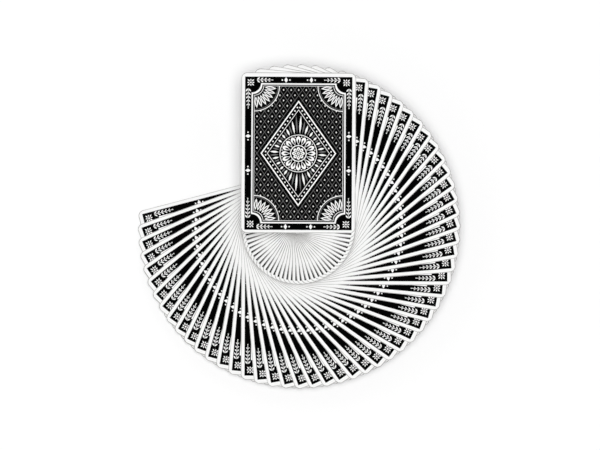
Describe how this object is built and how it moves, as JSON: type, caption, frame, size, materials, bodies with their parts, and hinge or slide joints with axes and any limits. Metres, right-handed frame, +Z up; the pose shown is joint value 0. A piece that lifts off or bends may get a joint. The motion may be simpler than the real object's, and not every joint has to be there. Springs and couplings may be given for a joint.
{
  "type": "playing card deck",
  "caption": "Deck of poker-size playing cards spread face down in a clockwise fan; every card turns about the pinched end, so the fan closes to a squared pack.",
  "frame": {"origin": "on the fan's upright axis, at the underside of the lowest card", "axes": "+Z up through the stacked cards; +Y along the top card, from its pinched end to its outer end; +X to the right of the top card seen from above"},
  "size_m": [0.1812, 0.1812, 0.0156],
  "materials": {
    "card_stock": "coated white card with a black print on the back, light satin varnish"
  },
  "bodies": {
    "ace_of_spades": {"ace_of_spades": "card_stock"},
    "two_of_spades": {"two_of_spades": "card_stock"},
    "three_of_spades": {"three_of_spades": "card_stock"},
    "four_of_spades": {"four_of_spades": "card_stock"},
    "five_of_spades": {"five_of_spades": "card_stock"},
    "six_of_spades": {"six_of_spades": "card_stock"},
    "seven_of_spades": {"seven_of_spades": "card_stock"},
    "eight_of_spades": {"eight_of_spades": "card_stock"},
    "nine_of_spades": {"nine_of_spades": "card_stock"},
    "ten_of_spades": {"ten_of_spades": "card_stock"},
    "jack_of_spades": {"jack_of_spades": "card_stock"},
    "queen_of_spades": {"queen_of_spades": "card_stock"},
    "king_of_spades": {"king_of_spades": "card_stock"},
    "ace_of_diamonds": {"ace_of_diamonds": "card_stock"},
    "two_of_diamonds": {"two_of_diamonds": "card_stock"},
    "three_of_diamonds": {"three_of_diamonds": "card_stock"},
    "four_of_diamonds": {"four_of_diamonds": "card_stock"},
    "five_of_diamonds": {"five_of_diamonds": "card_stock"},
    "six_of_diamonds": {"six_of_diamonds": "card_stock"},
    "seven_of_diamonds": {"seven_of_diamonds": "card_stock"},
    "eight_of_diamonds": {"eight_of_diamonds": "card_stock"},
    "nine_of_diamonds": {"nine_of_diamonds": "card_stock"},
    "ten_of_diamonds": {"ten_of_diamonds": "card_stock"},
    "jack_of_diamonds": {"jack_of_diamonds": "card_stock"},
    "queen_of_diamonds": {"queen_of_diamonds": "card_stock"},
    "king_of_diamonds": {"king_of_diamonds": "card_stock"},
    "king_of_clubs": {"king_of_clubs": "card_stock"},
    "queen_of_clubs": {"queen_of_clubs": "card_stock"},
    "jack_of_clubs": {"jack_of_clubs": "card_stock"},
    "ten_of_clubs": {"ten_of_clubs": "card_stock"},
    "nine_of_clubs": {"nine_of_clubs": "card_stock"},
    "eight_of_clubs": {"eight_of_clubs": "card_stock"},
    "seven_of_clubs": {"seven_of_clubs": "card_stock"},
    "six_of_clubs": {"six_of_clubs": "card_stock"},
    "five_of_clubs": {"five_of_clubs": "card_stock"},
    "four_of_clubs": {"four_of_clubs": "card_stock"},
    "three_of_clubs": {"three_of_clubs": "card_stock"},
    "two_of_clubs": {"two_of_clubs": "card_stock"},
    "ace_of_clubs": {"ace_of_clubs": "card_stock"},
    "king_of_hearts": {"king_of_hearts": "card_stock"},
    "queen_of_hearts": {"queen_of_hearts": "card_stock"},
    "jack_of_hearts": {"jack_of_hearts": "card_stock"},
    "ten_of_hearts": {"ten_of_hearts": "card_stock"},
    "nine_of_hearts": {"nine_of_hearts": "card_stock"},
    "eight_of_hearts": {"eight_of_hearts": "card_stock"},
    "seven_of_hearts": {"seven_of_hearts": "card_stock"},
    "six_of_hearts": {"six_of_hearts": "card_stock"},
    "five_of_hearts": {"five_of_hearts": "card_stock"},
    "four_of_hearts": {"four_of_hearts": "card_stock"},
    "three_of_hearts": {"three_of_hearts": "card_stock"},
    "two_of_hearts": {"two_of_hearts": "card_stock"},
    "ace_of_hearts": {"ace_of_hearts": "card_stock"}
  },
  "joints": [
    {"name": "fan_close", "type": "hinge", "parent": "ace_of_hearts", "child": "ace_of_spades", "pos_m": [0, 0, 0], "axis": [0, 0, -1], "range_deg": [-98.1, 255]},
    {"name": "turn_two_of_spades", "type": "hinge", "parent": "ace_of_hearts", "child": "two_of_spades", "pos_m": [0, 0, 0], "axis": [0, 0, -1], "range_deg": [-96.19, 250.01]},
    {"name": "turn_three_of_spades", "type": "hinge", "parent": "ace_of_hearts", "child": "three_of_spades", "pos_m": [0, 0, 0], "axis": [0, 0, -1], "range_deg": [-94.26, 245.01]},
    {"name": "turn_four_of_spades", "type": "hinge", "parent": "ace_of_hearts", "child": "four_of_spades", "pos_m": [0, 0, 0], "axis": [0, 0, -1], "range_deg": [-92.34, 240.01]},
    {"name": "turn_five_of_spades", "type": "hinge", "parent": "ace_of_hearts", "child": "five_of_spades", "pos_m": [0, 0, 0], "axis": [0, 0, -1], "range_deg": [-90.42, 235.01]},
    {"name": "turn_six_of_spades", "type": "hinge", "parent": "ace_of_hearts", "child": "six_of_spades", "pos_m": [0, 0, 0], "axis": [0, 0, -1], "range_deg": [-88.49, 230.01]},
    {"name": "turn_seven_of_spades", "type": "hinge", "parent": "ace_of_hearts", "child": "seven_of_spades", "pos_m": [0, 0, 0], "axis": [0, 0, -1], "range_deg": [-86.57, 225.01]},
    {"name": "turn_eight_of_spades", "type": "hinge", "parent": "ace_of_hearts", "child": "eight_of_spades", "pos_m": [0, 0, 0], "axis": [0, 0, -1], "range_deg": [-84.65, 220.01]},
    {"name": "turn_nine_of_spades", "type": "hinge", "parent": "ace_of_hearts", "child": "nine_of_spades", "pos_m": [0, 0, 0], "axis": [0, 0, -1], "range_deg": [-82.72, 215.01]},
    {"name": "turn_ten_of_spades", "type": "hinge", "parent": "ace_of_hearts", "child": "ten_of_spades", "pos_m": [0, 0, 0], "axis": [0, 0, -1], "range_deg": [-80.8, 210.01]},
    {"name": "turn_jack_of_spades", "type": "hinge", "parent": "ace_of_hearts", "child": "jack_of_spades", "pos_m": [0, 0, 0], "axis": [0, 0, -1], "range_deg": [-78.87, 205.01]},
    {"name": "turn_queen_of_spades", "type": "hinge", "parent": "ace_of_hearts", "child": "queen_of_spades", "pos_m": [0, 0, 0], "axis": [0, 0, -1], "range_deg": [-76.95, 200.01]},
    {"name": "turn_king_of_spades", "type": "hinge", "parent": "ace_of_hearts", "child": "king_of_spades", "pos_m": [0, 0, 0], "axis": [0, 0, -1], "range_deg": [-75.03, 195.01]},
    {"name": "turn_ace_of_diamonds", "type": "hinge", "parent": "ace_of_hearts", "child": "ace_of_diamonds", "pos_m": [0, 0, 0], "axis": [0, 0, -1], "range_deg": [-73.1, 190.01]},
    {"name": "turn_two_of_diamonds", "type": "hinge", "parent": "ace_of_hearts", "child": "two_of_diamonds", "pos_m": [0, 0, 0], "axis": [0, 0, -1], "range_deg": [-71.18, 185.01]},
    {"name": "turn_three_of_diamonds", "type": "hinge", "parent": "ace_of_hearts", "child": "three_of_diamonds", "pos_m": [0, 0, 0], "axis": [0, 0, -1], "range_deg": [-69.26, 180.01]},
    {"name": "turn_four_of_diamonds", "type": "hinge", "parent": "ace_of_hearts", "child": "four_of_diamonds", "pos_m": [0, 0, 0], "axis": [0, 0, -1], "range_deg": [-67.33, 175.01]},
    {"name": "turn_five_of_diamonds", "type": "hinge", "parent": "ace_of_hearts", "child": "five_of_diamonds", "pos_m": [0, 0, 0], "axis": [0, 0, -1], "range_deg": [-65.41, 170.01]},
    {"name": "turn_six_of_diamonds", "type": "hinge", "parent": "ace_of_hearts", "child": "six_of_diamonds", "pos_m": [0, 0, 0], "axis": [0, 0, -1], "range_deg": [-63.49, 165.01]},
    {"name": "turn_seven_of_diamonds", "type": "hinge", "parent": "ace_of_hearts", "child": "seven_of_diamonds", "pos_m": [0, 0, 0], "axis": [0, 0, -1], "range_deg": [-61.56, 160.01]},
    {"name": "turn_eight_of_diamonds", "type": "hinge", "parent": "ace_of_hearts", "child": "eight_of_diamonds", "pos_m": [0, 0, 0], "axis": [0, 0, -1], "range_deg": [-59.64, 155.01]},
    {"name": "turn_nine_of_diamonds", "type": "hinge", "parent": "ace_of_hearts", "child": "nine_of_diamonds", "pos_m": [0, 0, 0], "axis": [0, 0, -1], "range_deg": [-57.72, 150.01]},
    {"name": "turn_ten_of_diamonds", "type": "hinge", "parent": "ace_of_hearts", "child": "ten_of_diamonds", "pos_m": [0, 0, 0], "axis": [0, 0, -1], "range_deg": [-55.79, 145.01]},
    {"name": "turn_jack_of_diamonds", "type": "hinge", "parent": "ace_of_hearts", "child": "jack_of_diamonds", "pos_m": [0, 0, 0], "axis": [0, 0, -1], "range_deg": [-53.87, 140.01]},
    {"name": "turn_queen_of_diamonds", "type": "hinge", "parent": "ace_of_hearts", "child": "queen_of_diamonds", "pos_m": [0, 0, 0], "axis": [0, 0, -1], "range_deg": [-51.95, 135.01]},
    {"name": "turn_king_of_diamonds", "type": "hinge", "parent": "ace_of_hearts", "child": "king_of_diamonds", "pos_m": [0, 0, 0], "axis": [0, 0, -1], "range_deg": [-50.02, 130.01]},
    {"name": "turn_king_of_clubs", "type": "hinge", "parent": "ace_of_hearts", "child": "king_of_clubs", "pos_m": [0, 0, 0], "axis": [0, 0, -1], "range_deg": [-48.1, 125.01]},
    {"name": "turn_queen_of_clubs", "type": "hinge", "parent": "ace_of_hearts", "child": "queen_of_clubs", "pos_m": [0, 0, 0], "axis": [0, 0, -1], "range_deg": [-46.17, 120.01]},
    {"name": "turn_jack_of_clubs", "type": "hinge", "parent": "ace_of_hearts", "child": "jack_of_clubs", "pos_m": [0, 0, 0], "axis": [0, 0, -1], "range_deg": [-44.25, 115.01]},
    {"name": "turn_ten_of_clubs", "type": "hinge", "parent": "ace_of_hearts", "child": "ten_of_clubs", "pos_m": [0, 0, 0], "axis": [0, 0, -1], "range_deg": [-42.33, 110.01]},
    {"name": "turn_nine_of_clubs", "type": "hinge", "parent": "ace_of_hearts", "child": "nine_of_clubs", "pos_m": [0, 0, 0], "axis": [0, 0, -1], "range_deg": [-40.4, 105.01]},
    {"name": "turn_eight_of_clubs", "type": "hinge", "parent": "ace_of_hearts", "child": "eight_of_clubs", "pos_m": [0, 0, 0], "axis": [0, 0, -1], "range_deg": [-38.48, 100.01]},
    {"name": "turn_seven_of_clubs", "type": "hinge", "parent": "ace_of_hearts", "child": "seven_of_clubs", "pos_m": [0, 0, 0], "axis": [0, 0, -1], "range_deg": [-36.56, 95.01]},
    {"name": "turn_six_of_clubs", "type": "hinge", "parent": "ace_of_hearts", "child": "six_of_clubs", "pos_m": [0, 0, 0], "axis": [0, 0, -1], "range_deg": [-34.63, 90.01]},
    {"name": "turn_five_of_clubs", "type": "hinge", "parent": "ace_of_hearts", "child": "five_of_clubs", "pos_m": [0, 0, 0], "axis": [0, 0, -1], "range_deg": [-32.71, 85.01]},
    {"name": "turn_four_of_clubs", "type": "hinge", "parent": "ace_of_hearts", "child": "four_of_clubs", "pos_m": [0, 0, 0], "axis": [0, 0, -1], "range_deg": [-30.79, 80.01]},
    {"name": "turn_three_of_clubs", "type": "hinge", "parent": "ace_of_hearts", "child": "three_of_clubs", "pos_m": [0, 0, 0], "axis": [0, 0, -1], "range_deg": [-28.86, 75.01]},
    {"name": "turn_two_of_clubs", "type": "hinge", "parent": "ace_of_hearts", "child": "two_of_clubs", "pos_m": [0, 0, 0], "axis": [0, 0, -1], "range_deg": [-26.94, 70.01]},
    {"name": "turn_ace_of_clubs", "type": "hinge", "parent": "ace_of_hearts", "child": "ace_of_clubs", "pos_m": [0, 0, 0], "axis": [0, 0, -1], "range_deg": [-25.02, 65.01]},
    {"name": "turn_king_of_hearts", "type": "hinge", "parent": "ace_of_hearts", "child": "king_of_hearts", "pos_m": [0, 0, 0], "axis": [0, 0, -1], "range_deg": [-23.09, 60.01]},
    {"name": "turn_queen_of_hearts", "type": "hinge", "parent": "ace_of_hearts", "child": "queen_of_hearts", "pos_m": [0, 0, 0], "axis": [0, 0, -1], "range_deg": [-21.17, 55.01]},
    {"name": "turn_jack_of_hearts", "type": "hinge", "parent": "ace_of_hearts", "child": "jack_of_hearts", "pos_m": [0, 0, 0], "axis": [0, 0, -1], "range_deg": [-19.25, 50.01]},
    {"name": "turn_ten_of_hearts", "type": "hinge", "parent": "ace_of_hearts", "child": "ten_of_hearts", "pos_m": [0, 0, 0], "axis": [0, 0, -1], "range_deg": [-17.32, 45.01]},
    {"name": "turn_nine_of_hearts", "type": "hinge", "parent": "ace_of_hearts", "child": "nine_of_hearts", "pos_m": [0, 0, 0], "axis": [0, 0, -1], "range_deg": [-15.4, 40.01]},
    {"name": "turn_eight_of_hearts", "type": "hinge", "parent": "ace_of_hearts", "child": "eight_of_hearts", "pos_m": [0, 0, 0], "axis": [0, 0, -1], "range_deg": [-13.47, 35.01]},
    {"name": "turn_seven_of_hearts", "type": "hinge", "parent": "ace_of_hearts", "child": "seven_of_hearts", "pos_m": [0, 0, 0], "axis": [0, 0, -1], "range_deg": [-11.55, 30.01]},
    {"name": "turn_six_of_hearts", "type": "hinge", "parent": "ace_of_hearts", "child": "six_of_hearts", "pos_m": [0, 0, 0], "axis": [0, 0, -1], "range_deg": [-9.63, 25.01]},
    {"name": "turn_five_of_hearts", "type": "hinge", "parent": "ace_of_hearts", "child": "five_of_hearts", "pos_m": [0, 0, 0], "axis": [0, 0, -1], "range_deg": [-7.7, 20.01]},
    {"name": "turn_four_of_hearts", "type": "hinge", "parent": "ace_of_hearts", "child": "four_of_hearts", "pos_m": [0, 0, 0], "axis": [0, 0, -1], "range_deg": [-5.78, 15.01]},
    {"name": "turn_three_of_hearts", "type": "hinge", "parent": "ace_of_hearts", "child": "three_of_hearts", "pos_m": [0, 0, 0], "axis": [0, 0, -1], "range_deg": [-3.86, 10.01]},
    {"name": "turn_two_of_hearts", "type": "hinge", "parent": "ace_of_hearts", "child": "two_of_hearts", "pos_m": [0, 0, 0], "axis": [0, 0, -1], "range_deg": [-1.93, 5.01]}
  ],
  "couplings": [
    {"joint": "turn_two_of_spades", "follows": "fan_close", "ratio": 0.98039},
    {"joint": "turn_three_of_spades", "follows": "fan_close", "ratio": 0.96078},
    {"joint": "turn_four_of_spades", "follows": "fan_close", "ratio": 0.94118},
    {"joint": "turn_five_of_spades", "follows": "fan_close", "ratio": 0.92157},
    {"joint": "turn_six_of_spades", "follows": "fan_close", "ratio": 0.90196},
    {"joint": "turn_seven_of_spades", "follows": "fan_close", "ratio": 0.88235},
    {"joint": "turn_eight_of_spades", "follows": "fan_close", "ratio": 0.86275},
    {"joint": "turn_nine_of_spades", "follows": "fan_close", "ratio": 0.84314},
    {"joint": "turn_ten_of_spades", "follows": "fan_close", "ratio": 0.82353},
    {"joint": "turn_jack_of_spades", "follows": "fan_close", "ratio": 0.80392},
    {"joint": "turn_queen_of_spades", "follows": "fan_close", "ratio": 0.78431},
    {"joint": "turn_king_of_spades", "follows": "fan_close", "ratio": 0.76471},
    {"joint": "turn_ace_of_diamonds", "follows": "fan_close", "ratio": 0.7451},
    {"joint": "turn_two_of_diamonds", "follows": "fan_close", "ratio": 0.72549},
    {"joint": "turn_three_of_diamonds", "follows": "fan_close", "ratio": 0.70588},
    {"joint": "turn_four_of_diamonds", "follows": "fan_close", "ratio": 0.68627},
    {"joint": "turn_five_of_diamonds", "follows": "fan_close", "ratio": 0.66667},
    {"joint": "turn_six_of_diamonds", "follows": "fan_close", "ratio": 0.64706},
    {"joint": "turn_seven_of_diamonds", "follows": "fan_close", "ratio": 0.62745},
    {"joint": "turn_eight_of_diamonds", "follows": "fan_close", "ratio": 0.60784},
    {"joint": "turn_nine_of_diamonds", "follows": "fan_close", "ratio": 0.58824},
    {"joint": "turn_ten_of_diamonds", "follows": "fan_close", "ratio": 0.56863},
    {"joint": "turn_jack_of_diamonds", "follows": "fan_close", "ratio": 0.54902},
    {"joint": "turn_queen_of_diamonds", "follows": "fan_close", "ratio": 0.52941},
    {"joint": "turn_king_of_diamonds", "follows": "fan_close", "ratio": 0.5098},
    {"joint": "turn_king_of_clubs", "follows": "fan_close", "ratio": 0.4902},
    {"joint": "turn_queen_of_clubs", "follows": "fan_close", "ratio": 0.47059},
    {"joint": "turn_jack_of_clubs", "follows": "fan_close", "ratio": 0.45098},
    {"joint": "turn_ten_of_clubs", "follows": "fan_close", "ratio": 0.43137},
    {"joint": "turn_nine_of_clubs", "follows": "fan_close", "ratio": 0.41176},
    {"joint": "turn_eight_of_clubs", "follows": "fan_close", "ratio": 0.39216},
    {"joint": "turn_seven_of_clubs", "follows": "fan_close", "ratio": 0.37255},
    {"joint": "turn_six_of_clubs", "follows": "fan_close", "ratio": 0.35294},
    {"joint": "turn_five_of_clubs", "follows": "fan_close", "ratio": 0.33333},
    {"joint": "turn_four_of_clubs", "follows": "fan_close", "ratio": 0.31373},
    {"joint": "turn_three_of_clubs", "follows": "fan_close", "ratio": 0.29412},
    {"joint": "turn_two_of_clubs", "follows": "fan_close", "ratio": 0.27451},
    {"joint": "turn_ace_of_clubs", "follows": "fan_close", "ratio": 0.2549},
    {"joint": "turn_king_of_hearts", "follows": "fan_close", "ratio": 0.23529},
    {"joint": "turn_queen_of_hearts", "follows": "fan_close", "ratio": 0.21569},
    {"joint": "turn_jack_of_hearts", "follows": "fan_close", "ratio": 0.19608},
    {"joint": "turn_ten_of_hearts", "follows": "fan_close", "ratio": 0.17647},
    {"joint": "turn_nine_of_hearts", "follows": "fan_close", "ratio": 0.15686},
    {"joint": "turn_eight_of_hearts", "follows": "fan_close", "ratio": 0.13725},
    {"joint": "turn_seven_of_hearts", "follows": "fan_close", "ratio": 0.11765},
    {"joint": "turn_six_of_hearts", "follows": "fan_close", "ratio": 0.098039},
    {"joint": "turn_five_of_hearts", "follows": "fan_close", "ratio": 0.078431},
    {"joint": "turn_four_of_hearts", "follows": "fan_close", "ratio": 0.058824},
    {"joint": "turn_three_of_hearts", "follows": "fan_close", "ratio": 0.039216},
    {"joint": "turn_two_of_hearts", "follows": "fan_close", "ratio": 0.019608}
  ]
}
